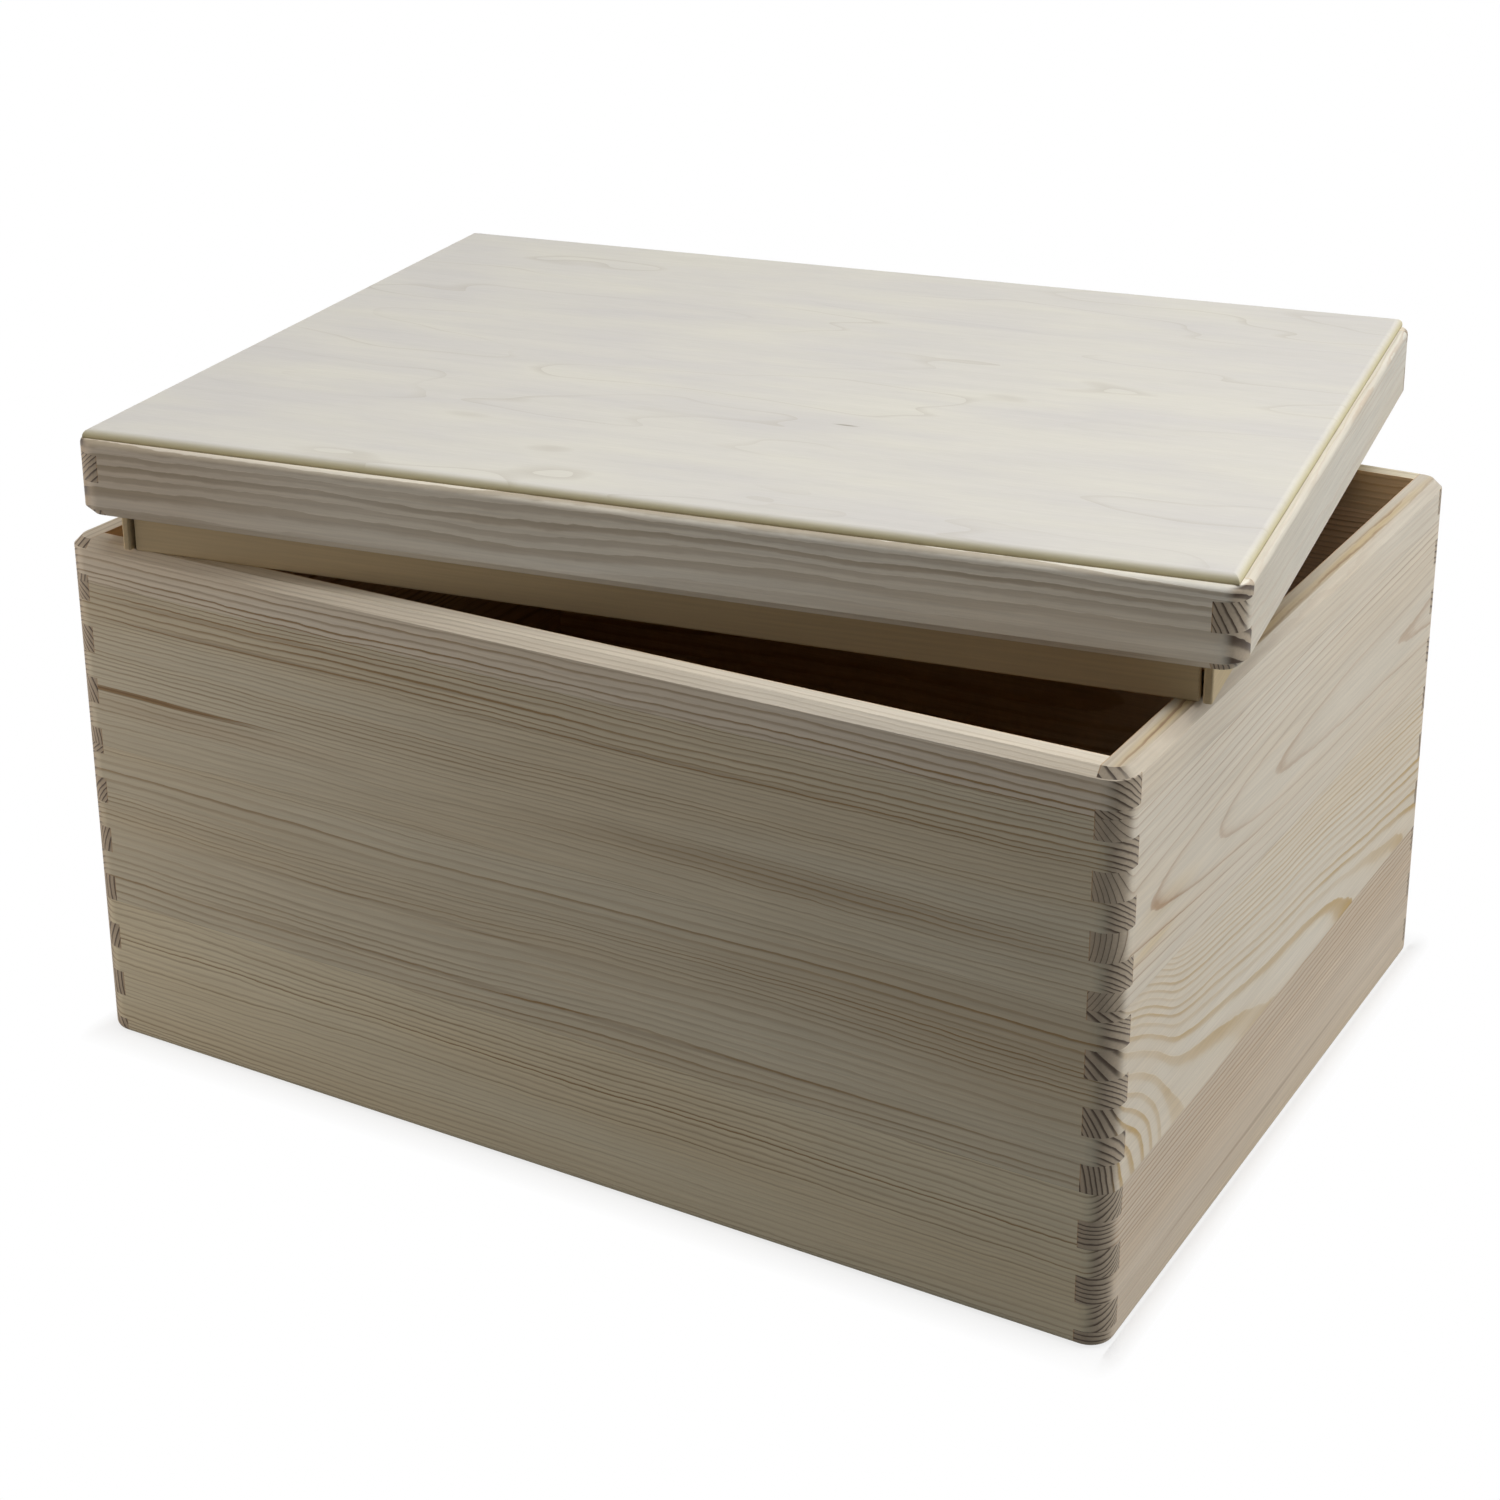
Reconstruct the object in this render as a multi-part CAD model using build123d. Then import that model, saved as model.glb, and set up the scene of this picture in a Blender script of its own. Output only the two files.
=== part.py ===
"""Pine storage box with a lift-off lid, its walls finger-jointed at the corners.

Millimetres, +Z up. The origin is the middle of the underside, the front looks along -Y.
"""

import os

from build123d import *

# Carcass, outside sizes
box_length = 400.0
box_width = 300.0
wall_thickness = 10.0
corner_radius = 8.5
rim_bevel = 3.0
base_round = 3.0

# Edge-glued boards of each wall, from the base up
base_board_height = 54.75
middle_board_height = 62.0
rim_board_height = 15.25

# Finger joints: a part finger at the base, then whole fingers up through box and lid
base_finger = 6.0
finger_width = 9.75
saw_kerf = 4.2
least_finger_slice = 0.2

# Bottom panel, let into a rebate around the inside of the base boards
bottom_thickness = 4.0
rebate_depth = 5.0
rebate_corner_radius = 8.0
bottom_clearance = 0.25

# Lid frame, and its plywood top set in from the frame's faces
rail_height = 27.0
rail_top_round = 2.0
panel_thickness = 3.0
panel_inset = 3.0
panel_round = 2.5

# Lip strips inside the lid, which drop into the box
lip_depth = 15.0
lip_thickness = 3.0
lip_clearance = 0.5
lip_recess = 1.0
lip_end_gap = 1.2
lip_round = 0.8

# The lid as it lies askew on the rim
lid_yaw = 8.8
lid_shift_x = -6.5
lid_shift_y = 17.0

# Heights that follow
board_heights = {
    "base": base_board_height,
    "lower": middle_board_height,
    "upper": middle_board_height,
    "rim": rim_board_height,
}
box_height = sum(board_heights.values())
lid_cut_height = box_height + saw_kerf

# Walls in order about the box; the long walls own the first whole finger
walls = ("front", "right", "rear", "left")
long_walls = ("front", "rear")


def wall_turn(wall):
    """Quarter turns that bring the front wall round to this wall's place."""
    return Rot(0, 0, 90 * walls.index(wall))


def wall_spans(wall):
    """The wall's own outside length, and the size of the box across it."""
    return (box_length, box_width) if wall in long_walls else (box_width, box_length)


def finger_edges(low, high):
    """Heights of a board's finger edges on the carcass, with the board's own two edges."""
    count = int((high - base_finger) // finger_width)
    lines = [base_finger + step * finger_width for step in range(count + 1)]
    inner = [z for z in lines if low + least_finger_slice < z < high - least_finger_slice]
    return [low] + inner + [high]


def runs_through(wall, height):
    """True where the fingers of this wall reach the outside of the corner."""
    long_wall_finger = int((height - base_finger) // finger_width) % 2 == 0
    return long_wall_finger == (wall in long_walls)


def comb_outline(wall, low, high):
    """Outline of a board with its end fingers, along the wall and up the carcass."""
    half_run = wall_spans(wall)[0] / 2
    edges = finger_edges(low, high)
    right_end = []
    for bottom, top in zip(edges, edges[1:]):
        through = runs_through(wall, (bottom + top) / 2)
        reach = half_run if through else half_run - wall_thickness
        right_end += [(reach, bottom), (reach, top)]
    left_end = [(-reach, height) for reach, height in reversed(right_end)]
    return right_end + left_end


def fingered_board(wall, low, high):
    """Flat board with end fingers, standing in its wall."""
    across = wall_spans(wall)[1]
    inner_face = Plane.XZ.offset(across / 2 - wall_thickness)
    outline = inner_face * Polygon(*comb_outline(wall, low, high), align=None)
    return wall_turn(wall) * extrude(outline, wall_thickness)


def cornered_block(height):
    """Block of the box's outside plan with its upright corners rounded, standing on z = 0."""
    standing = (Align.CENTER, Align.CENTER, Align.MIN)
    block = Box(box_length, box_width, height, align=standing)
    return fillet(block.edges().filter_by(Axis.Z), corner_radius)


def box_envelope():
    """Outside shape of the box, bevelled around the rim and rounded around the base."""
    block = cornered_block(box_height)
    block = chamfer(block.faces().sort_by(Axis.Z)[-1].edges(), rim_bevel)
    return fillet(block.faces().sort_by(Axis.Z)[0].edges(), base_round)


def frame_envelope():
    """Outside shape of the lid's frame, bevelled below like the rim it was cut from."""
    block = cornered_block(rail_height)
    block = chamfer(block.faces().sort_by(Axis.Z)[0].edges(), rim_bevel)
    return fillet(block.faces().sort_by(Axis.Z)[-1].edges(), rail_top_round)


def bottom_plate(side_gap):
    """Round-cornered plate that fills the rebate, less a gap on every side."""
    reach = rebate_depth - wall_thickness - side_gap
    radius = rebate_corner_radius - side_gap
    outline = RectangleRounded(box_length + 2 * reach, box_width + 2 * reach, radius)
    return extrude(outline, bottom_thickness)


def box_boards():
    """The glued boards of the four walls, by node name."""
    envelope = box_envelope()
    rebate = bottom_plate(0)
    boards = {}
    for wall in walls:
        low = 0
        for place, height in board_heights.items():
            board = fingered_board(wall, low, low + height) & envelope
            boards[f"{wall}_{place}_board"] = board - rebate if low == 0 else board
            low += height
    return boards


def lid_rails():
    """The four lid rails, cut from the top of the same carcass, by node name."""
    envelope = frame_envelope()
    rails = {}
    for wall in walls:
        rail = fingered_board(wall, lid_cut_height, lid_cut_height + rail_height)
        rails[f"lid_{wall}_rail"] = Pos(0, 0, -lid_cut_height) * rail & envelope
    return rails


def lip_strips():
    """Plywood strips from the lid's top down past its rails, by node name."""
    strips = {}
    edge_inset = wall_thickness + lip_clearance
    for wall in walls:
        run, across = wall_spans(wall)
        length = run - 2 * edge_inset
        outer_face = across / 2 - edge_inset
        if wall in long_walls:
            length -= 2 * (lip_thickness + lip_end_gap)
            outer_face -= lip_recess
        strip = Box(length, lip_thickness, lip_depth + rail_height)
        strip = fillet(strip.edges().filter_by(Axis.Z), lip_round)
        strip = fillet(strip.faces().sort_by(Axis.Z)[0].edges(), lip_round)
        middle = Pos(0, lip_thickness / 2 - outer_face, (rail_height - lip_depth) / 2)
        strips[f"lip_{wall}_strip"] = wall_turn(wall) * middle * strip
    return strips


def top_panel():
    """Plywood sheet that lies on the rails, its upper edges rounded and its corners square."""
    standing = (Align.CENTER, Align.CENTER, Align.MIN)
    length = box_length - 2 * panel_inset
    width = box_width - 2 * panel_inset
    sheet = Box(length, width, panel_thickness, align=standing)
    sheet = fillet(sheet.faces().sort_by(Axis.Z)[-1].edges(), panel_round)
    return Pos(0, 0, rail_height) * sheet


def lid_pieces():
    """Every piece of the lid where it lies, by node name."""
    pieces = {**lid_rails(), "lid_panel": top_panel(), **lip_strips()}
    askew = Pos(lid_shift_x, lid_shift_y, box_height + lip_depth) * Rot(0, 0, lid_yaw)
    return {name: askew * piece for name, piece in pieces.items()}


nodes = {**box_boards(), "bottom_panel": bottom_plate(bottom_clearance), **lid_pieces()}
os.makedirs("parts", exist_ok=True)
for name, solid in nodes.items():
    export_step(solid, f"parts/{name}.step")
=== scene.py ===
"""Looks of the pine storage box: its boards and plywood, and the plain studio it stands in."""

import math
from typing import NamedTuple

import bpy
from mathutils import Matrix, Vector


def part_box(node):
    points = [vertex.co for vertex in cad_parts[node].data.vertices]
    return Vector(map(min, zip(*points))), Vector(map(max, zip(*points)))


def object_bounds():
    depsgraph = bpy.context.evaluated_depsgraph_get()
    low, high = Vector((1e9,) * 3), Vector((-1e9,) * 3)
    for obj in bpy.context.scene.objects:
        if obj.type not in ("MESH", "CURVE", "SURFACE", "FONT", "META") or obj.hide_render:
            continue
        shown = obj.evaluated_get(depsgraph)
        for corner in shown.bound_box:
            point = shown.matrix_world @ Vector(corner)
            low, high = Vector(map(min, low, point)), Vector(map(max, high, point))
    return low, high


bl_info = {
    "name": "Pine storage box",
    "version": (1, 0, 0),
    "blender": (4, 5, 0),
    "location": "3D View > Sidebar > Storage box",
    "description": "Gives the packed storage box its woods and stands it in a plain studio",
    "category": "Object",
}

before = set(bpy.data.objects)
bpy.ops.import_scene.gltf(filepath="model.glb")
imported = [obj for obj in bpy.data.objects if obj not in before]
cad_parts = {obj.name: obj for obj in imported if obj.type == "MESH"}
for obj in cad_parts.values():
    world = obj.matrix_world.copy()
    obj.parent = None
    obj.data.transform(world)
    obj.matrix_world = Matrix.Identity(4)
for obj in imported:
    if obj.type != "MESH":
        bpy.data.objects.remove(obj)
cad_low, cad_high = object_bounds()

MM = 0.001

# The carcass and the lid's place on it
WALLS = ("front", "right", "rear", "left")
PLACES = ("base", "lower", "upper", "rim")
HALF_SPANS = {
    "front": -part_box("front_base_board")[0].y,
    "right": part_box("right_base_board")[1].x,
    "rear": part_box("rear_base_board")[1].y,
    "left": -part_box("left_base_board")[0].x,
}
LID_YAW = math.radians(8.8)
LID_CENTRE = sum(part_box("lid_panel"), Vector()) / 2

# Depths into a board, in millimetres, where the painted shade on its inner face starts and where it is
# full
WALL_THICKNESS = 10
INNER_SHADE_START = WALL_THICKNESS - 0.4
INNER_SHADE_FULL = WALL_THICKNESS - 0.1

# Years of a spell of good or poor growth, and how many rings a spell can push the lines
SPELL_YEARS = 6
SPELL_PUSH = 2.2

# Share of a streak's strength that tints the wood between the lines with its colour
STREAK_SOAK = 0.6

# Height of torn fuzz, against that of the fibres
FUZZ_HEIGHT = 1.6

# Rings that the peeling knife skims on the lid's top, and the mottle's share in its clouds
RINGS_SKIMMED = 9.0
MOTTLE_SHARE = 0.6

# Seeds that keep the patterns of two pieces apart
BOARD_SEED_STEP = 3.7
RAIL_SEED_START = 61.3
RAIL_SEED_STEP = 4.1
STRIP_SEED_STEP = 2.9
BOTTOM_SEED = 31.0

# Half the floor's side in metres, and how far it lies below the box
FLOOR_REACH = 20.0
FLOOR_DROP = 0.1 * MM

# Width of the camera's sensor, in millimetres
SENSOR_WIDTH = 36


def linear(hex_colour):
    """Scene-linear red, green and blue of an sRGB hex colour."""
    shares = [int(hex_colour[i:i + 2], 16) / 255 for i in (1, 3, 5)]
    return tuple(s / 12.92 if s <= 0.04045 else ((s + 0.055) / 1.055) ** 2.4 for s in shares)


def solid(colour):
    """A colour property as the red, green, blue and alpha of a socket."""
    return (*colour, 1.0)


WHITE = solid(linear("#FFFFFF"))


class Lamp(NamedTuple):
    """A square soft box, with its place and side in metres and its power in watts."""

    place: tuple
    side: float
    watts: float
    colour: str = "#FFFFFF"


LAMPS = {
    "top_lamp": Lamp((0.20, 0.05, 1.90), 1.2, 16.3),
    "near_lamp": Lamp((0.60, -0.20, 1.15), 0.8, 3.7),
    "side_lamp": Lamp((1.70, 0.75, 0.62), 0.9, 13.6),
    "fill_lamp": Lamp((-0.75, -0.42, 0.20), 0.3, 2.2, "#FFF1E4"),
}


class Pattern(NamedTuple):
    """How one trait of a wood varies, its lumps measured in millimetres along, into and up a piece."""

    lumps: tuple
    seed: float
    detail: float


# Single fibres are too fine to show in the render, so the fibres of all three woods are drawn about twenty
# times as wide as they are
PINE = {
    "wander": Pattern((170, 50, 40), 0, 1.0),    # slow waves of the ring lines
    "ripple": Pattern((30, 14, 9), 5, 1.0),      # small waves of the ring lines
    "fray": Pattern((5, 3, 2.5), 9, 1.0),        # ragged edges of the ring lines
    "fading": Pattern((260, 25, 16), 23, 1.0),   # where the ring lines are strong and where faint
    "mellow": Pattern((320, 34, 22), 11, 2.0),   # browner patches
    "blush": Pattern((190, 40, 26), 41, 1.0),    # pinker patches
    "fibre": Pattern((34, 0.8, 0.8), 17, 2.0),
    "torn": Pattern((55, 40, 24), 29, 1.0),      # places where the plane tore the wood
    "fuzz": Pattern((2.4, 0.8, 0.8), 31, 2.0),   # short fibre ends in those places
}
BIRCH = {
    "rings": Pattern((260, 80, 80), 3.0, 3.0),
    "patches": Pattern((120, 50, 50), 14.0, 1.0),   # where the ring contours show
    "mottle": Pattern((70, 24, 24), 21.0, 2.0),
    "fibre": Pattern((9, 0.5, 0.5), 8.0, 2.0),
    "strands": Pattern((120, 4, 4), 27.0, 3.0),
}
ROUGH_PLY = {
    "fibre": Pattern((40, 0.9, 0.9), 0, 3.0),
    "tone": Pattern((160, 20, 20), 3, 2.0),
}


class Streak(NamedTuple):
    """A stained patch of a piece, or a patch of painted shade, in millimetres along, into and up it."""

    middle: tuple
    half_size: tuple
    strength: float
    colour: str = "stain_and_shade"


# The short crack in the lid's top, in millimetres from the middle of its underside
VENEER_CHECK = Streak((43, -52.7, 3), (6, 0.9, 6), 0.7)


class Sawing(NamedTuple):
    """How one board was cut from its log, in millimetres along, into and up the board."""

    heart: tuple         # depth and height of the log's heart
    taper: tuple         # (along, shift) points: how the rings swell along the board
    ring: float          # mean width of a year's ring
    zones: tuple         # (height, strength) points: where the ring lines show and where they fade
    pale: str            # spring growth: one of the pale woods of the pine finish
    dark: str            # autumn growth: one of its dark woods
    late: float = 0.3    # share of a ring that is autumn growth
    stray: float = 1.0   # how far the rings stray, against the finish's own wander
    growth: tuple = ()   # (radius, ring) points where the rings change their width
    painted_top_shade: float = 1.0   # painted shade: how bright the upward-facing faces are drawn, against the sides
    streaks: tuple = ()


SAWN = {
    "front_base": Sawing(
        (-60, 100), ((-200, 1.5), (0, 0), (200, -1)), 1.5,
        ((0, 0.6), (24, 0.65), (31, 1.05), (55, 1.05)), "wheat", "tan"),
    "front_lower": Sawing(
        (-60, -56), ((-200, 0), (-60, 1.2), (60, -0.5), (200, 1)), 2.0,
        ((0, 0.8), (8, 0.85), (36, 0.8), (44, 0.65), (62, 0.65)), "straw", "tan",
        streaks=(
            Streak((0, 0, 9.8), (280, 40, 1.4), 0.6),
            Streak((-60, 0, 30), (150, 40, 1.2), 0.4),
            # Painted shade: darkens the right part of the board's middle, where the front wall lies in
            # deeper shade
            Streak((160, 0, 46), (150, 40, 24), 0.25),
        )),
    "front_upper": Sawing(
        (-59, -64), ((-200, -1), (0, 0), (200, 1)), 1.5,
        ((0, 0.85), (12, 0.6), (38, 0.65), (46, 1.25), (62, 1.3)), "straw", "tan",
        streaks=(
            Streak((-172, 0, 22.3), (78, 40, 1.4), 2.2),
            Streak((-150, 0, 17), (100, 40, 6), 0.3, "fawn"),
            Streak((100, 0, 17), (140, 40, 8), 0.42),
            Streak((-110, 0, 49.5), (110, 40, 1.4), 0.8),
            Streak((60, 0, 47), (160, 40, 1.4), 0.6),
            Streak((-120, 0, 57), (90, 40, 1.3), 0.6),
            Streak((-40, 0, 53.5), (70, 40, 1.3), 0.6),
        )),
    # Painted shade: its upward faces are drawn a little darker
    "front_rim": Sawing(
        (-50, -54), ((-200, 0), (200, 1)), 1.8,
        ((0, 1.3), (8, 1.0), (11.5, 0.8), (12.5, 0.4), (15, 0.35)), "cream", "tan", painted_top_shade=0.95),
    "right_base": Sawing(
        (5, 75), ((-150, 0), (150, 1)), 1.75, ((0, 0.3), (20, 0.5), (28, 1.4), (55, 1.5)), "rose", "fawn",
        streaks=(
            Streak((-20, 0, 13.5), (140, 40, 1.2), 0.5),
            Streak((0, 0, 2), (190, 40, 11), 0.2, "resin"),
        )),
    "right_lower": Sawing(
        (50, -1.8),
        ((-150, -22), (-140, -19), (-129, -16), (-117, -12), (-105, -7.8), (-95, -5.9), (-65, -3.7),
         (-22, -1.2), (26, 0), (75, 3.3), (141, 6.6), (150, 7)),
        3.5, ((0, 1.25), (28, 1.15), (38, 0.8), (62, 0.65)), "cream", "gold", late=0.34, stray=0.6,
        growth=((18, -13.7), (38, -3.7), (54, 0.8), (90, 21.4))),
    "right_upper": Sawing(
        (44.6, 27.5), ((-150, 3.3), (-82, 1.6), (-25, 0), (30, -0.8), (90, -1.5), (150, -2)), 1.6,
        ((0, 0.85), (20, 1.05), (40, 1.05), (62, 0.95)), "cream", "fawn", late=0.16, stray=0.25,
        streaks=(
            Streak((-115, 0, 23), (36, 40, 6), 0.3, "resin"),
            Streak((-126, 0, 13), (24, 40, 3), 0.5, "resin"),
        )),
    # Painted shade: its upward faces are drawn darker, standing in for the lid's shadow on the rim
    "right_rim": Sawing(
        (40, -40), ((-150, 0), (150, 3)), 2.0, ((0, 0.5), (15, 0.3)), "cream", "fawn", painted_top_shade=0.73,
        streaks=(
            Streak((-75, 5.6, 15), (115, 3.4, 5), 1.1, "resin"),
            Streak((75, 5.0, 15), (110, 2.8, 5), 0.9, "resin"),
        )),
    "rear_base": Sawing(
        (-30, -60), ((-200, 0), (200, 2)), 2.1, ((0, 0.6), (55, 0.7)), "straw", "tan"),
    "rear_lower": Sawing(
        (45, 26), ((-200, 5), (-60, 1), (60, -0.5), (200, -4)), 2.2, ((0, 0.7), (62, 0.8)),
        "cream", "gold", late=0.35, stray=0.4),
    "rear_upper": Sawing(
        (30, -40), ((-200, 0), (200, 3)), 2.0, ((0, 0.7), (30, 0.5), (62, 0.8)), "cream", "tan"),
    "rear_rim": Sawing(
        (-36, -40), ((-200, 0), (200, 1)), 2.2, ((0, 0.6), (15, 0.6)), "straw", "tan"),
    "left_base": Sawing(
        (48, 24), ((-150, 4), (0, 1), (150, -3)), 2.0, ((0, 0.7), (55, 0.7)), "rose", "fawn", stray=0.5),
    "left_lower": Sawing(
        (50, 10), ((-150, 0), (150, 2)), 1.8, ((0, 0.5), (30, 0.8), (62, 0.7)), "straw", "tan"),
    "left_upper": Sawing(
        (-47, -10), ((-150, 1), (150, -1)), 1.8, ((0, 0.7), (62, 0.7)), "cream", "gold"),
    "left_rim": Sawing(
        (52, -10), ((-150, 0), (150, 1)), 1.9, ((0, 0.6), (15, 0.6)), "cream", "tan"),
    # Its pale wood is the lighter copy, painted light for the rail's shaded front
    "lid_front": Sawing(
        (-20, -40), ((-200, 0), (-40, 2), (60, -1), (200, 1)), 4.4, ((0, 0.74), (27, 0.74)),
        "ivory_painted_light", "drift", late=0.5, stray=1.9,
        # Fawn patch over the rail's left end: stronger ring lines there, and painted shade darkening that
        # end
        streaks=(Streak((-200, 0, 14), (120, 40, 60), 0.5, "fawn"),)),
    # Its pale wood is the darker copy, painted shade against the side lamp
    "lid_right": Sawing(
        (57, -6), ((-150, 0), (150, 2)), 1.6, ((0, 0.4), (27, 0.4)), "pearl_painted_shade", "fawn"),
    "lid_rear": Sawing(
        (40, 12), ((-200, 3), (200, -2)), 2.2, ((0, 0.6), (27, 0.6)), "cream", "tan"),
    "lid_left": Sawing(
        (40, -20), ((-150, 0), (150, 1)), 1.7, ((0, 0.6), (27, 0.6)), "cream", "tan"),
}


def wood_colour(name, description, hex_colour):
    """Property for a colour of a wood."""
    return bpy.props.FloatVectorProperty(
        name=name, description=description, subtype="COLOR", min=0, max=1, default=linear(hex_colour))


def small_length(name, description, size):
    """Property for a length that is given in millimetres."""
    return bpy.props.FloatProperty(name=name, description=description, unit="LENGTH", default=size * MM)


class PineFinish(bpy.types.PropertyGroup):
    """Colours and grain of the bare pine boards and rails."""

    cream: wood_colour("Cream pale wood", "Spring growth of the whitest boards", "#F1E9D9")
    rose: wood_colour("Rosy pale wood", "Spring growth of the pinker boards", "#E2D5C2")
    straw: wood_colour("Straw pale wood", "Spring growth of the yellower boards", "#E4DEC9")
    wheat: wood_colour("Wheat pale wood", "Spring growth of the front's base board", "#EEE7CE")
    # Painted light and shade: ivory and pearl are lighter and darker copies of one pale wood, for the
    # lid's front rail in shade and its right rail under the side lamp
    ivory_painted_light: wood_colour("Ivory pale wood", "Spring growth of the lid's front rail", "#F9F6EB")
    pearl_painted_shade: wood_colour("Pearl pale wood", "Spring growth of the lid's right rail", "#E7E4D9")
    tan: wood_colour("Tan dark wood", "Autumn growth, the lines on the faces", "#9A7F58")
    # Also the colour of the painted shade at the left end of the lid's front rail
    fawn: wood_colour("Fawn dark wood", "Autumn growth, pinker and fainter", "#B89A7B")
    drift: wood_colour("Driftwood dark wood", "Autumn growth of the lid's front rail, greyer", "#AE9F88")
    gold: wood_colour("Golden dark wood", "Autumn growth of the resin-rich boards", "#BE9C5A")
    resin: wood_colour("Resin", "Yellow streaks where resin has soaked the wood", "#E6C888")
    # Also the colour of the painted shade patch on the front's lower board
    stain_and_shade: wood_colour("Stain", "Brown streaks in the heartwood", "#866B4A")
    end_pale: wood_colour("End grain, pale", "Cut fibre ends of the spring growth", "#BFB09B")
    end_dark: wood_colour("End grain, dark", "Cut fibre ends of the autumn growth", "#46372A")
    # Painted shade: the inner faces are drawn darker and warmer, standing in for the shade inside the box
    inside: wood_colour("Inner faces", "Painted shade on the inner faces, darker and warmer", "#FFE4C8")
    mellow: wood_colour("Mellow tint", "Tint of a board's browner patches", "#ECE7E1")
    blush: wood_colour("Blush tint", "Tint of a board's pinker patches", "#FFFCF8")
    wander: small_length("Wander", "How far the rings stray from true circles", 1.5)
    ripple: small_length("Ripple", "Small waves along the ring lines", 0.3)
    fray: small_length("Fray", "Ragged edges of the ring lines", 0.1)
    relief: small_length("Relief", "Height of the fibres that planing leaves", 0.06)


class PlywoodFinish(bpy.types.PropertyGroup):
    """Colours and plies of the lid's top, the lip strips and the bottom panel."""

    veneer: wood_colour("Birch veneer", "Sanded face of the lid's top", "#E6E2D6")
    cloud: wood_colour("Birch cloud", "Greyer sheets of the peeled veneer", "#DDD9D3")
    figure: wood_colour("Birch figure", "Thin lines where the peel passes from ring to ring", "#C9C2B4")
    core: wood_colour("Core ply", "Inner ply where the rounded edge cuts it", "#CFC59E")
    glue: wood_colour("Glue line", "Line between two plies", "#7A6A45")
    strip: wood_colour("Lip ply", "Face of the lip strips", "#D0BC96")
    bottom: wood_colour("Bottom ply", "Face of the bottom panel", "#CDBC9F")
    ply: small_length("Ply", "Thickness of one ply", 1.0)


class Studio(bpy.types.PropertyGroup):
    """Camera, floor and surroundings."""

    lens: bpy.props.FloatProperty(
        name="Lens", description="Focal length on a 36 mm sensor", unit="CAMERA", default=67.62)
    place: bpy.props.FloatVectorProperty(
        name="Camera place", description="Where the camera stands", subtype="TRANSLATION",
        default=(0.4708, -0.8272, 0.5303))
    azimuth: bpy.props.FloatProperty(
        name="Azimuth", description="Turn of the camera about the box", unit="ROTATION",
        default=math.radians(30.18))
    elevation: bpy.props.FloatProperty(
        name="Elevation", description="Angle of the camera above the floor", unit="ROTATION",
        default=math.radians(19.86))
    roll: bpy.props.FloatProperty(
        name="Roll", description="Lean of the camera", unit="ROTATION", default=math.radians(-0.27))
    shift: bpy.props.FloatProperty(
        name="Shift", description="Share of the picture by which the view is lowered", default=-0.15)
    ambient: bpy.props.FloatProperty(
        name="Ambient", description="Light that the room sends to every side", default=0.078)
    floor: bpy.props.FloatVectorProperty(
        name="Floor", description="Floor as the box sees it", subtype="COLOR", min=0, max=1,
        default=linear("#7C7C7C"))
    shadow: bpy.props.FloatProperty(
        name="Shadow", description="Share of the floor's white that the box can shade",
        subtype="FACTOR", min=0, max=1, default=0.22)
    side_shadow: bpy.props.FloatProperty(
        name="Side shadow", description="The same share on the right, where a lamp reaches in",
        subtype="FACTOR", min=0, max=1, default=0.65)
    shadow_reach: small_length("Shadow reach", "How far before and behind the box its shadow shows", 13)
    side_reach: small_length("Side reach", "How far beside the box its shadow shows", 7.5)


def draw_curve(mapping, points):
    """Draws a curve through points, which may lie outside zero to one."""
    mapping.use_clip = False
    curve = mapping.curves[0]
    for point, place in zip(curve.points, (points[0], points[-1])):
        point.location = place
    for place in points[1:-1]:
        curve.points.new(*place)
    for point in curve.points:
        point.handle_type = "AUTO_CLAMPED"
    mapping.update()


def add(tree, kind, inputs=None, curve=(), **settings):
    """Adds a node to a tree, sets its properties and curve, then fills or links the inputs in use."""
    node = tree.nodes.new(kind)
    for name, value in settings.items():
        setattr(node, name, value)
    if curve:
        draw_curve(node.mapping, curve)
    sockets = [socket for socket in node.inputs if socket.enabled]
    for key, value in (inputs or {}).items():
        socket = sockets[key] if isinstance(key, int) else next(s for s in sockets if s.name == key)
        if isinstance(value, bpy.types.Node):
            value = next(output for output in value.outputs if output.enabled)
        if isinstance(value, bpy.types.NodeSocket):
            tree.links.new(value, socket)
        else:
            socket.default_value = value
    return node


def new_material(name):
    """A material with an empty node tree."""
    material = bpy.data.materials.new(name)
    material.use_nodes = True
    material.node_tree.nodes.clear()
    return material, material.node_tree


def matt_surface(tree, colour, roughness, normal):
    """Closes a material with the matt surface of bare wood, whose pores weaken its gleam."""
    shader = add(tree, "ShaderNodeBsdfPrincipled", {
        "Base Color": colour, "Roughness": roughness, "IOR": 1.5, "Specular IOR Level": 0.3,
        "Normal": normal})
    add(tree, "ShaderNodeOutputMaterial", {"Surface": shader})


def own_millimetres(tree, origin, turn):
    """Places in a piece in millimetres along, into and up it."""
    coordinates = add(tree, "ShaderNodeTexCoord")
    return add(tree, "ShaderNodeMapping", {
        "Vector": coordinates.outputs["Object"], "Location": origin, "Rotation": (0, 0, turn),
        "Scale": (MM, MM, MM)}, vector_type="TEXTURE")


def uneven_wood(tree, own, pattern, seed):
    """How a trait varies over a piece, from 0 to 1."""
    offset = seed + pattern.seed
    scaled = add(tree, "ShaderNodeVectorMath", {
        0: own, 1: [1 / length for length in pattern.lumps], 2: (offset, 2 * offset, -offset)},
        operation="MULTIPLY_ADD")
    return add(tree, "ShaderNodeTexNoise", {"Vector": scaled, "Scale": 1.0, "Detail": pattern.detail})


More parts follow.
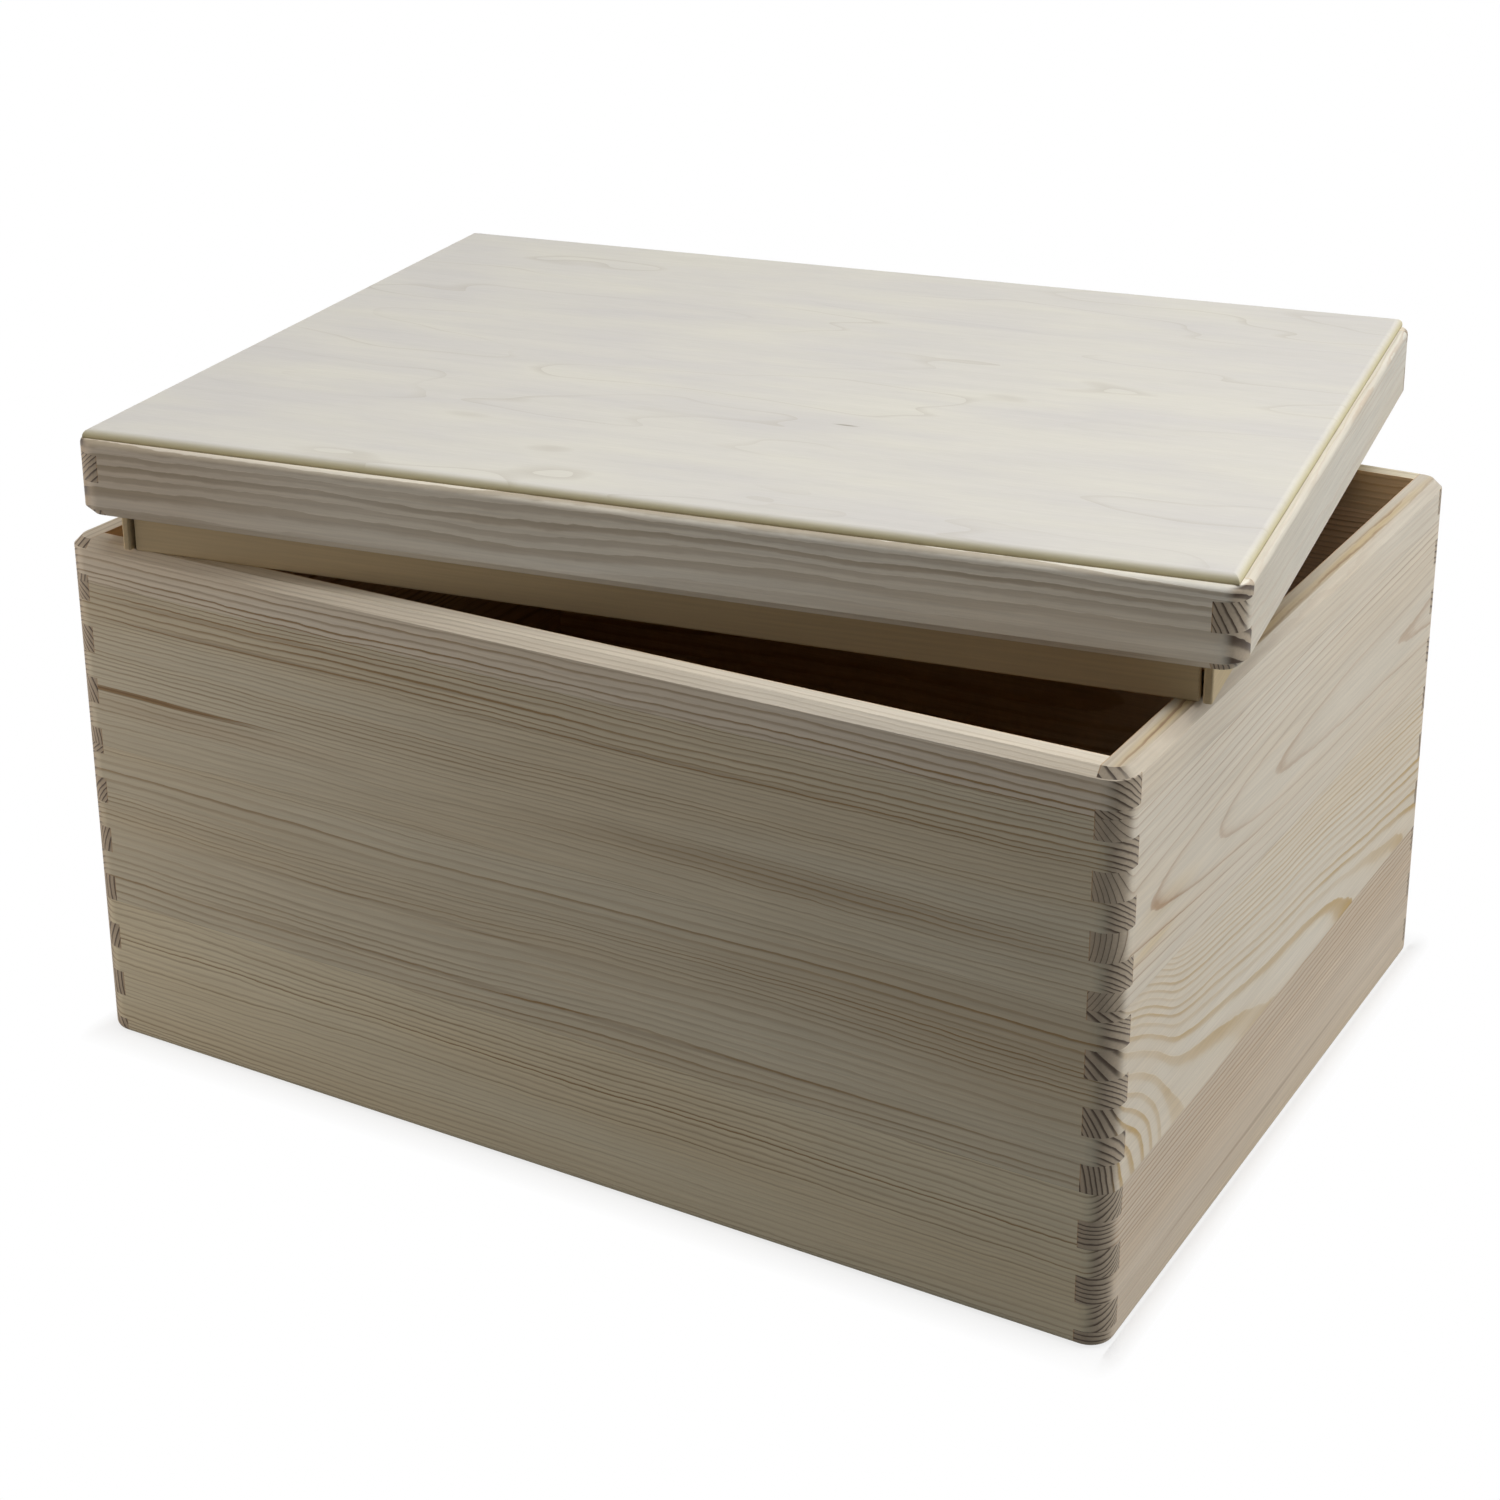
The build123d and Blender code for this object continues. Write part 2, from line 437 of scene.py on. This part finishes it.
def soft_spot(tree, own, streak):
    """The strength of a streak at its middle, falling to nothing at its rim."""
    away = add(tree, "ShaderNodeVectorMath", {0: own, 1: streak.middle}, operation="SUBTRACT")
    shares = add(tree, "ShaderNodeVectorMath", {0: away, 1: streak.half_size}, operation="DIVIDE")
    reach = add(tree, "ShaderNodeVectorMath", {0: shares}, operation="LENGTH")
    return add(tree, "ShaderNodeMapRange", {
        "Value": reach, "From Min": 0.15, "From Max": 1.0, "To Min": streak.strength, "To Max": 0.0},
        interpolation_type="SMOOTHSTEP")


def year_rings(tree, own, sawing, finish, seed):
    """Years counted out from the heart of the log, strayed by slow and quick waves along the grain."""
    along = add(tree, "ShaderNodeSeparateXYZ", {0: own}).outputs["X"]
    arm = add(tree, "ShaderNodeVectorMath", {0: own, 1: (0, *sawing.heart)}, operation="SUBTRACT")
    across = add(tree, "ShaderNodeVectorMath", {0: arm, 1: (0, 1, 1)}, operation="MULTIPLY")
    radius = add(tree, "ShaderNodeVectorMath", {0: across}, operation="LENGTH")
    swell = add(tree, "ShaderNodeFloatCurve", {"Value": along}, curve=sawing.taper)
    radius = add(tree, "ShaderNodeMath", {0: radius, 1: swell}, operation="ADD")
    for name in ("wander", "ripple", "fray"):
        wave = uneven_wood(tree, own, PINE[name], seed)
        reach = 2 * getattr(finish, name) * sawing.stray / MM
        shift = add(tree, "ShaderNodeMapRange", {"Value": wave, "To Min": -reach, "To Max": reach})
        radius = add(tree, "ShaderNodeMath", {0: radius, 1: shift}, operation="ADD")
    if sawing.growth:
        years = add(tree, "ShaderNodeFloatCurve", {"Value": radius}, curve=sawing.growth)
    else:
        years = add(tree, "ShaderNodeMath", {0: radius, 1: sawing.ring}, operation="DIVIDE")
    spell = add(tree, "ShaderNodeMath", {0: years, 1: 1 / SPELL_YEARS, 2: seed}, operation="MULTIPLY_ADD")
    pace = add(tree, "ShaderNodeTexNoise", {"W": spell, "Scale": 1.0, "Detail": 0.0},
               noise_dimensions="1D")
    return add(tree, "ShaderNodeMath", {0: pace, 1: SPELL_PUSH * sawing.stray, 2: years},
               operation="MULTIPLY_ADD")


def autumn_growth(tree, own, sawing, finish, seed):
    """Share of autumn growth in the wood, and how strong its lines show on the faces."""
    years = year_rings(tree, own, sawing, finish, seed)
    year = add(tree, "ShaderNodeMath", {0: years}, operation="FLOOR")
    share = add(tree, "ShaderNodeMath", {0: years}, operation="FRACT")

    # It sets in slowly, is darkest at the outer edge of its year, and stops short there
    start = 1 - sawing.late
    late = add(tree, "ShaderNodeFloatCurve", {"Value": share}, curve=(
        (0, 0.1), (0.2, 0), (start - 0.12, 0.1), (start + 0.08, 0.8), (0.94, 1), (1, 0.1)))

    # Some years and some places are stronger than others
    vigour = add(tree, "ShaderNodeTexWhiteNoise", {"W": year}, noise_dimensions="1D")
    strength = add(tree, "ShaderNodeMapRange", {"Value": vigour, "To Min": 0.4, "To Max": 1.1})
    fading = uneven_wood(tree, own, PINE["fading"], seed)
    fade = add(tree, "ShaderNodeMapRange", {
        "Value": fading, "From Min": 0.35, "From Max": 0.65, "To Min": 0.45, "To Max": 1.1})
    height = add(tree, "ShaderNodeSeparateXYZ", {0: own}).outputs["Z"]
    zone = add(tree, "ShaderNodeFloatCurve", {"Value": height}, curve=sawing.zones)
    line = late
    for part in (strength, fade, zone):
        line = add(tree, "ShaderNodeMath", {0: line, 1: part}, operation="MULTIPLY")
    return late, line


def board_face(tree, own, sawing, finish, seed, late, line):
    """Spring growth with its patches and the board's own streaks, and the ring lines over it."""
    mellowed = uneven_wood(tree, own, PINE["mellow"], seed)
    flushed = uneven_wood(tree, own, PINE["blush"], seed)
    flushed = add(tree, "ShaderNodeMapRange", {"Value": flushed, "From Min": 0.42, "From Max": 0.62})
    ground = getattr(finish, sawing.pale)
    for patch, tint in ((mellowed, finish.mellow), (flushed, finish.blush)):
        cast = add(tree, "ShaderNodeMix", {0: patch, 1: WHITE, 2: solid(tint)}, data_type="RGBA")
        ground = add(tree, "ShaderNodeVectorMath", {0: ground, 1: cast}, operation="MULTIPLY")
    for streak in sawing.streaks:
        spot = soft_spot(tree, own, streak)
        line = add(tree, "ShaderNodeMath", {0: spot, 1: late, 2: line}, operation="MULTIPLY_ADD")
        soak = add(tree, "ShaderNodeMath", {0: spot, 1: STREAK_SOAK}, operation="MULTIPLY")
        ground = add(tree, "ShaderNodeMix", {
            0: soak, 1: ground, 2: solid(getattr(finish, streak.colour))}, data_type="RGBA")
    return add(tree, "ShaderNodeMix", {
        0: line, 1: ground, 2: solid(getattr(finish, sawing.dark))}, data_type="RGBA")


def bare_pine(name, origin, turn, sawing, seed):
    """Planed bare pine: matt, pale between the tan lines of its rings, with dark rings on the cut ends."""
    finish = bpy.context.scene.storage_box_pine
    material, tree = new_material(f"Planed bare pine, {name}")
    own = own_millimetres(tree, origin, turn)
    depth, height = add(tree, "ShaderNodeSeparateXYZ", {0: own}).outputs[1:]
    normal = add(tree, "ShaderNodeTexCoord").outputs["Normal"]
    late, line = autumn_growth(tree, own, sawing, finish, seed)
    face = board_face(tree, own, sawing, finish, seed, late, line)

    # Ends of the fibres, on the faces that look along the grain
    end = add(tree, "ShaderNodeMix", {
        0: late, 1: solid(finish.end_pale), 2: solid(finish.end_dark)}, data_type="RGBA")
    grain = (math.cos(turn), math.sin(turn), 0)
    lean = add(tree, "ShaderNodeVectorMath", {0: normal, 1: grain}, operation="DOT_PRODUCT")
    facing = add(tree, "ShaderNodeMath", {0: lean}, operation="ABSOLUTE")
    cut_end = add(tree, "ShaderNodeMapRange", {"Value": facing, "From Min": 0.15, "From Max": 0.6},
                  interpolation_type="SMOOTHSTEP")
    wood = add(tree, "ShaderNodeMix", {0: cut_end, 1: face, 2: end}, data_type="RGBA")

    # Painted shade on the inner and upward-facing faces, and the glue line along the board's lower edge
    inner = add(tree, "ShaderNodeMapRange", {
        "Value": depth, "From Min": INNER_SHADE_START, "From Max": INNER_SHADE_FULL})
    tint = add(tree, "ShaderNodeMix", {0: inner, 1: WHITE, 2: solid(finish.inside)}, data_type="RGBA")
    seam = add(tree, "ShaderNodeMapRange", {
        "Value": height, "From Max": 0.35, "To Min": 0.8, "To Max": 1.0})
    upward = add(tree, "ShaderNodeSeparateXYZ", {0: normal}).outputs["Z"]
    painted_top_shade = add(tree, "ShaderNodeMapRange", {
        "Value": upward, "From Min": 0.4, "From Max": 0.65, "To Min": 1.0, "To Max": sawing.painted_top_shade})

    # Fibres, and fuzz where the plane tore
    fibre = uneven_wood(tree, own, PINE["fibre"], seed)
    shade = add(tree, "ShaderNodeMapRange", {
        "Value": fibre, "From Min": 0.28, "From Max": 0.72, "To Min": 0.91, "To Max": 1.06})
    for part in (tint, shade, seam, painted_top_shade):
        wood = add(tree, "ShaderNodeVectorMath", {0: wood, 1: part}, operation="MULTIPLY")
    torn = uneven_wood(tree, own, PINE["torn"], seed)
    torn = add(tree, "ShaderNodeMapRange", {"Value": torn, "From Min": 0.48, "From Max": 0.62})
    fuzz = uneven_wood(tree, own, PINE["fuzz"], seed)
    fuzz = add(tree, "ShaderNodeMath", {0: fuzz, 1: torn}, operation="MULTIPLY")
    relief = add(tree, "ShaderNodeMath", {0: fibre, 1: late}, operation="ADD")
    relief = add(tree, "ShaderNodeMath", {0: fuzz, 1: FUZZ_HEIGHT, 2: relief}, operation="MULTIPLY_ADD")
    bump = add(tree, "ShaderNodeBump", {"Strength": 0.5, "Distance": finish.relief, "Height": relief})
    rough = add(tree, "ShaderNodeMapRange", {"Value": late, "To Min": 0.68, "To Max": 0.55})
    matt_surface(tree, wood, roughness=rough, normal=bump)
    return material


def veneer_face(tree, own, finish):
    """Sheets of peeled veneer, nearly white, with the thin ragged contours of the rings between them."""
    rings = uneven_wood(tree, own, BIRCH["rings"], 0)
    sheets = add(tree, "ShaderNodeMath", {0: rings, 1: RINGS_SKIMMED}, operation="MULTIPLY")
    share = add(tree, "ShaderNodeMath", {0: sheets}, operation="FRACT")
    contour = add(tree, "ShaderNodeMapRange", {
        "Value": share, "From Max": 0.1, "To Min": 0.5, "To Max": 0.0})
    patch = uneven_wood(tree, own, BIRCH["patches"], 0)
    seen = add(tree, "ShaderNodeMapRange", {"Value": patch, "From Min": 0.4, "From Max": 0.6})
    contour = add(tree, "ShaderNodeMath", {0: contour, 1: seen}, operation="MULTIPLY")
    sheet = add(tree, "ShaderNodeMath", {0: sheets, 1: 1.0}, operation="PINGPONG")
    mottle = uneven_wood(tree, own, BIRCH["mottle"], 0)
    mottle = add(tree, "ShaderNodeMapRange", {"Value": mottle, "From Min": 0.36, "From Max": 0.64})
    clouded = add(tree, "ShaderNodeMix", {0: MOTTLE_SHARE, 1: sheet, 2: mottle}, data_type="FLOAT")
    face = add(tree, "ShaderNodeMix", {
        0: clouded, 1: solid(finish.veneer), 2: solid(finish.cloud)}, data_type="RGBA")
    face = add(tree, "ShaderNodeMix", {0: contour, 1: face, 2: solid(finish.figure)}, data_type="RGBA")
    check = soft_spot(tree, own, VENEER_CHECK)
    return add(tree, "ShaderNodeMix", {0: check, 1: face, 2: solid(finish.glue)}, data_type="RGBA")


def peeled_birch():
    """Sanded rotary-cut birch plywood: nearly white, faint ring contours on top, plies on the edge."""
    finish = bpy.context.scene.storage_box_plywood
    material, tree = new_material("Sanded birch plywood, lid top")
    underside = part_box("lid_panel")[0].z
    own = own_millimetres(tree, (LID_CENTRE.x, LID_CENTRE.y, underside), LID_YAW)
    height = add(tree, "ShaderNodeSeparateXYZ", {0: own}).outputs["Z"]
    face = veneer_face(tree, own, finish)

    # The rounded edge cuts down through the plies to the glue under the sheet
    ply = finish.ply / MM
    core_share = add(tree, "ShaderNodeFloatCurve", {"Value": height}, curve=(
        (0, 0.9), (0.9 * ply, 1), (1.5 * ply, 0.85), (2.1 * ply, 0.6), (2.7 * ply, 0.2), (3 * ply, 0)))
    edge = add(tree, "ShaderNodeMix", {0: core_share, 1: face, 2: solid(finish.core)}, data_type="RGBA")
    glue_share = add(tree, "ShaderNodeFloatCurve", {"Value": height}, curve=(
        (0, 0.7), (0.35, 0.5), (0.7, 0.1), (1.1, 0), (3 * ply, 0)))
    colour = add(tree, "ShaderNodeMix", {0: glue_share, 1: edge, 2: solid(finish.glue)}, data_type="RGBA")

    # Fibres and the longer strands that they lie in
    fibre = uneven_wood(tree, own, BIRCH["fibre"], 0)
    shade = add(tree, "ShaderNodeMapRange", {
        "Value": fibre, "From Min": 0.3, "From Max": 0.7, "To Min": 0.97, "To Max": 1.02})
    strand = uneven_wood(tree, own, BIRCH["strands"], 0)
    strand = add(tree, "ShaderNodeMapRange", {
        "Value": strand, "From Min": 0.3, "From Max": 0.7, "To Min": 0.975, "To Max": 1.015})
    for part in (shade, strand):
        colour = add(tree, "ShaderNodeVectorMath", {0: colour, 1: part}, operation="MULTIPLY")
    bump = add(tree, "ShaderNodeBump", {"Strength": 0.3, "Distance": 0.04 * MM, "Height": fibre})
    matt_surface(tree, colour, roughness=0.6, normal=bump)
    return material


def plain_plywood(name, face_colour, origin, turn, seed):
    """Thin unsanded plywood: brownish, with fine short fibres along the face."""
    material, tree = new_material(f"Rough plywood, {name}")
    own = own_millimetres(tree, origin, turn)
    fibre = uneven_wood(tree, own, ROUGH_PLY["fibre"], seed)
    tone = uneven_wood(tree, own, ROUGH_PLY["tone"], seed)
    both = add(tree, "ShaderNodeMath", {0: fibre, 1: tone}, operation="ADD")
    shade = add(tree, "ShaderNodeMapRange", {
        "Value": both, "From Min": 0.6, "From Max": 1.4, "To Min": 0.86, "To Max": 1.08})
    colour = add(tree, "ShaderNodeVectorMath", {0: face_colour, 1: shade}, operation="MULTIPLY")
    bump = add(tree, "ShaderNodeBump", {"Strength": 0.4, "Distance": 0.06 * MM, "Height": fibre})
    matt_surface(tree, colour, roughness=0.7, normal=bump)
    return material


def wear(node_name, material):
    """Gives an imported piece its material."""
    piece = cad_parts[node_name]
    piece.data.materials.clear()
    piece.data.materials.append(material)


def outer_face(wall, centre, yaw, height):
    """Middle of a wall's outer face at a height, and the wall's turn from the front."""
    turn = yaw + math.radians(90) * WALLS.index(wall)
    middle = centre + Matrix.Rotation(turn, 3, "Z") @ Vector((0, -HALF_SPANS[wall], 0))
    middle.z = height
    return middle, turn


class STORAGEBOX_OT_wall_boards(bpy.types.Operator):
    """Gives every wall board its own cut of pine"""

    bl_idname = "storage_box.wall_boards"
    bl_label = "Wall boards"

    def execute(self, context):
        boards = [(wall, place) for wall in WALLS for place in PLACES]
        for count, (wall, place) in enumerate(boards):
            node = f"{wall}_{place}_board"
            origin, turn = outer_face(wall, Vector(), 0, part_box(node)[0].z)
            pine = bare_pine(node, origin, turn, SAWN[f"{wall}_{place}"], BOARD_SEED_STEP * count)
            wear(node, pine)
        return {"FINISHED"}


class STORAGEBOX_OT_lid_rails(bpy.types.Operator):
    """Gives the lid's four rails their own cuts of pine"""

    bl_idname = "storage_box.lid_rails"
    bl_label = "Lid rails"

    def execute(self, context):
        for count, wall in enumerate(WALLS):
            node = f"lid_{wall}_rail"
            origin, turn = outer_face(wall, LID_CENTRE, LID_YAW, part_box(node)[0].z)
            seed = RAIL_SEED_START + RAIL_SEED_STEP * count
            wear(node, bare_pine(node, origin, turn, SAWN[f"lid_{wall}"], seed))
        return {"FINISHED"}


class STORAGEBOX_OT_lid_panel(bpy.types.Operator):
    """Gives the lid's top its birch plywood"""

    bl_idname = "storage_box.lid_panel"
    bl_label = "Lid panel"

    def execute(self, context):
        wear("lid_panel", peeled_birch())
        return {"FINISHED"}


class STORAGEBOX_OT_lip_strips(bpy.types.Operator):
    """Gives the lip strips their plywood"""

    bl_idname = "storage_box.lip_strips"
    bl_label = "Lip strips"

    def execute(self, context):
        colour = context.scene.storage_box_plywood.strip
        for count, wall in enumerate(WALLS):
            node = f"lip_{wall}_strip"
            origin, turn = outer_face(wall, LID_CENTRE, LID_YAW, LID_CENTRE.z)
            wear(node, plain_plywood(node, colour, origin, turn, STRIP_SEED_STEP * count))
        return {"FINISHED"}


class STORAGEBOX_OT_bottom_panel(bpy.types.Operator):
    """Gives the bottom panel its plywood"""

    bl_idname = "storage_box.bottom_panel"
    bl_label = "Bottom panel"

    def execute(self, context):
        colour = context.scene.storage_box_plywood.bottom
        plywood = plain_plywood("bottom_panel", colour, Vector(), 0, BOTTOM_SEED)
        wear("bottom_panel", plywood)
        return {"FINISHED"}


def seen_directly(tree):
    """1 for what the camera sees straight, mirrored or through glass, and 0 for light on the box."""
    path = add(tree, "ShaderNodeLightPath")
    seen = path.outputs["Is Camera Ray"]
    for ray in ("Is Glossy Ray", "Is Transmission Ray"):
        seen = add(tree, "ShaderNodeMath", {0: seen, 1: path.outputs[ray]}, operation="MAXIMUM")
    return seen


def white_floor(studio):
    """Matt white sweep: white to the camera with a faint shadow, greyer in the light it returns."""
    material, tree = new_material("Matt white sweep, floor")
    returned = add(tree, "ShaderNodeBsdfDiffuse", {"Color": solid(studio.floor)})
    shaded = add(tree, "ShaderNodeBsdfDiffuse", {"Color": WHITE})
    glow = add(tree, "ShaderNodeEmission", {"Strength": 1.0})

    # How far a point lies outside the footprint, as shares of the shadow's reach
    place = add(tree, "ShaderNodeTexCoord").outputs["Object"]
    folded = add(tree, "ShaderNodeVectorMath", {0: place}, operation="ABSOLUTE")
    footprint = (HALF_SPANS["right"], HALF_SPANS["rear"], 0)
    beyond = add(tree, "ShaderNodeVectorMath", {0: folded, 1: footprint}, operation="SUBTRACT")
    outside = add(tree, "ShaderNodeVectorMath", {0: beyond, 1: (0, 0, 0)}, operation="MAXIMUM")
    reaches = (studio.side_reach, studio.shadow_reach, 1)
    shares = add(tree, "ShaderNodeVectorMath", {0: outside, 1: reaches}, operation="DIVIDE")
    away = add(tree, "ShaderNodeVectorMath", {0: shares}, operation="LENGTH")

    # The shadow deepens evenly round the corners on the right
    aside, before = add(tree, "ShaderNodeSeparateXYZ", {0: shares}).outputs[:2]
    both = add(tree, "ShaderNodeMath", {0: aside, 1: before}, operation="ADD")
    sideways = add(tree, "ShaderNodeMath", {0: aside, 1: both}, operation="DIVIDE")
    across = add(tree, "ShaderNodeSeparateXYZ", {0: place}).outputs["X"]
    rightwards = add(tree, "ShaderNodeMath", {0: across, 1: 0.0}, operation="GREATER_THAN")
    beside = add(tree, "ShaderNodeMath", {0: sideways, 1: rightwards}, operation="MULTIPLY")
    depth = add(tree, "ShaderNodeMapRange", {
        "Value": beside, "To Min": studio.shadow, "To Max": studio.side_shadow})
    near = add(tree, "ShaderNodeMapRange", {"Value": away, "To Min": depth, "To Max": 0.0})

    shown = add(tree, "ShaderNodeMixShader", {0: near, 1: glow, 2: shaded})
    surface = add(tree, "ShaderNodeMixShader", {0: seen_directly(tree), 1: returned, 2: shown})
    add(tree, "ShaderNodeOutputMaterial", {"Surface": surface})
    return material


def lay_floor(scene, studio):
    """Lays a wide floor under the box."""
    corners = [(x * FLOOR_REACH, y * FLOOR_REACH, 0) for x, y in ((-1, -1), (1, -1), (1, 1), (-1, 1))]
    mesh = bpy.data.meshes.new("floor")
    mesh.from_pydata(corners, [], [(0, 1, 2, 3)])
    mesh.materials.append(white_floor(studio))
    floor = bpy.data.objects.new("floor", mesh)
    scene.collection.objects.link(floor)
    floor.location.z = cad_low.z - FLOOR_DROP


def hang_lamp(scene, name, lamp):
    """Hangs a soft box that looks at the middle of the object and stays out of the picture."""
    light = bpy.data.lights.new(name, "AREA")
    light.color = linear(lamp.colour)
    light.size = lamp.side
    light.energy = lamp.watts
    holder = bpy.data.objects.new(name, light)
    scene.collection.objects.link(holder)
    holder.location = lamp.place
    aim = (cad_low + cad_high) / 2 - Vector(lamp.place)
    holder.rotation_mode = "QUATERNION"
    holder.rotation_quaternion = aim.to_track_quat("-Z", "Y")
    holder.visible_camera = False


def paint_surroundings(scene, studio):
    """White surroundings to the camera, which send only a little light to the box."""
    world = bpy.data.worlds.new("White surroundings")
    scene.world = world
    world.use_nodes = True
    tree = world.node_tree
    tree.nodes.clear()
    strength = add(tree, "ShaderNodeMapRange", {
        "Value": seen_directly(tree), "To Min": studio.ambient, "To Max": 1.0})
    sky = add(tree, "ShaderNodeBackground", {"Color": WHITE, "Strength": strength})
    add(tree, "ShaderNodeOutputWorld", {"Surface": sky})


def stand_camera(scene, studio):
    """Stands the camera at the photograph's viewing angle, with its view lowered by the lens shift."""
    optics = bpy.data.cameras.new("camera")
    optics.sensor_width = SENSOR_WIDTH
    optics.lens = studio.lens
    optics.shift_y = studio.shift
    camera = bpy.data.objects.new("camera", optics)
    scene.collection.objects.link(camera)
    back = Vector((math.sin(studio.azimuth) * math.cos(studio.elevation),
                   -math.cos(studio.azimuth) * math.cos(studio.elevation),
                   math.sin(studio.elevation)))
    level = Vector((0, 0, 1)).cross(back).normalized()
    rise = back.cross(level)
    axes = Matrix((level, rise, back)).transposed() @ Matrix.Rotation(studio.roll, 3, "Z")
    camera.matrix_world = Matrix.Translation(Vector(studio.place)) @ axes.to_4x4()
    scene.camera = camera


class STORAGEBOX_OT_stage(bpy.types.Operator):
    """Makes the floor, the lamps, the white surroundings and the camera"""

    bl_idname = "storage_box.stage"
    bl_label = "Stage"

    def execute(self, context):
        scene = context.scene
        studio = scene.storage_box_studio
        lay_floor(scene, studio)
        for name, lamp in LAMPS.items():
            hang_lamp(scene, name, lamp)
        paint_surroundings(scene, studio)
        stand_camera(scene, studio)
        scene.view_settings.view_transform = "Standard"
        return {"FINISHED"}


OPERATORS = (
    STORAGEBOX_OT_wall_boards,
    STORAGEBOX_OT_lid_rails,
    STORAGEBOX_OT_lid_panel,
    STORAGEBOX_OT_lip_strips,
    STORAGEBOX_OT_bottom_panel,
    STORAGEBOX_OT_stage,
)
GROUPS = {
    "storage_box_pine": PineFinish,
    "storage_box_plywood": PlywoodFinish,
    "storage_box_studio": Studio,
}


class STORAGEBOX_PT_panel(bpy.types.Panel):
    """Lists the pieces of the storage box, and the sizes and colours that can be changed"""

    bl_idname = "STORAGEBOX_PT_panel"
    bl_label = "Storage box"
    bl_space_type = "VIEW_3D"
    bl_region_type = "UI"
    bl_category = "Storage box"

    def draw(self, context):
        for operator in OPERATORS:
            self.layout.operator(operator.bl_idname)
        for name, group in GROUPS.items():
            column = self.layout.column()
            for setting in group.__annotations__:
                column.prop(getattr(context.scene, name), setting)


CLASSES = (*GROUPS.values(), *OPERATORS, STORAGEBOX_PT_panel)


def register():
    """Registers the classes and gives the scene its groups of properties."""
    for cls in CLASSES:
        bpy.utils.register_class(cls)
    for name, group in GROUPS.items():
        setattr(bpy.types.Scene, name, bpy.props.PointerProperty(type=group))


def unregister():
    """Takes the groups of properties and the classes away again."""
    for name in GROUPS:
        delattr(bpy.types.Scene, name)
    for cls in reversed(CLASSES):
        bpy.utils.unregister_class(cls)


def main():
    """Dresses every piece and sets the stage."""
    register()
    bpy.ops.storage_box.wall_boards()
    bpy.ops.storage_box.lid_rails()
    bpy.ops.storage_box.lid_panel()
    bpy.ops.storage_box.lip_strips()
    bpy.ops.storage_box.bottom_panel()
    bpy.ops.storage_box.stage()


if __name__ == "__main__":
    main()
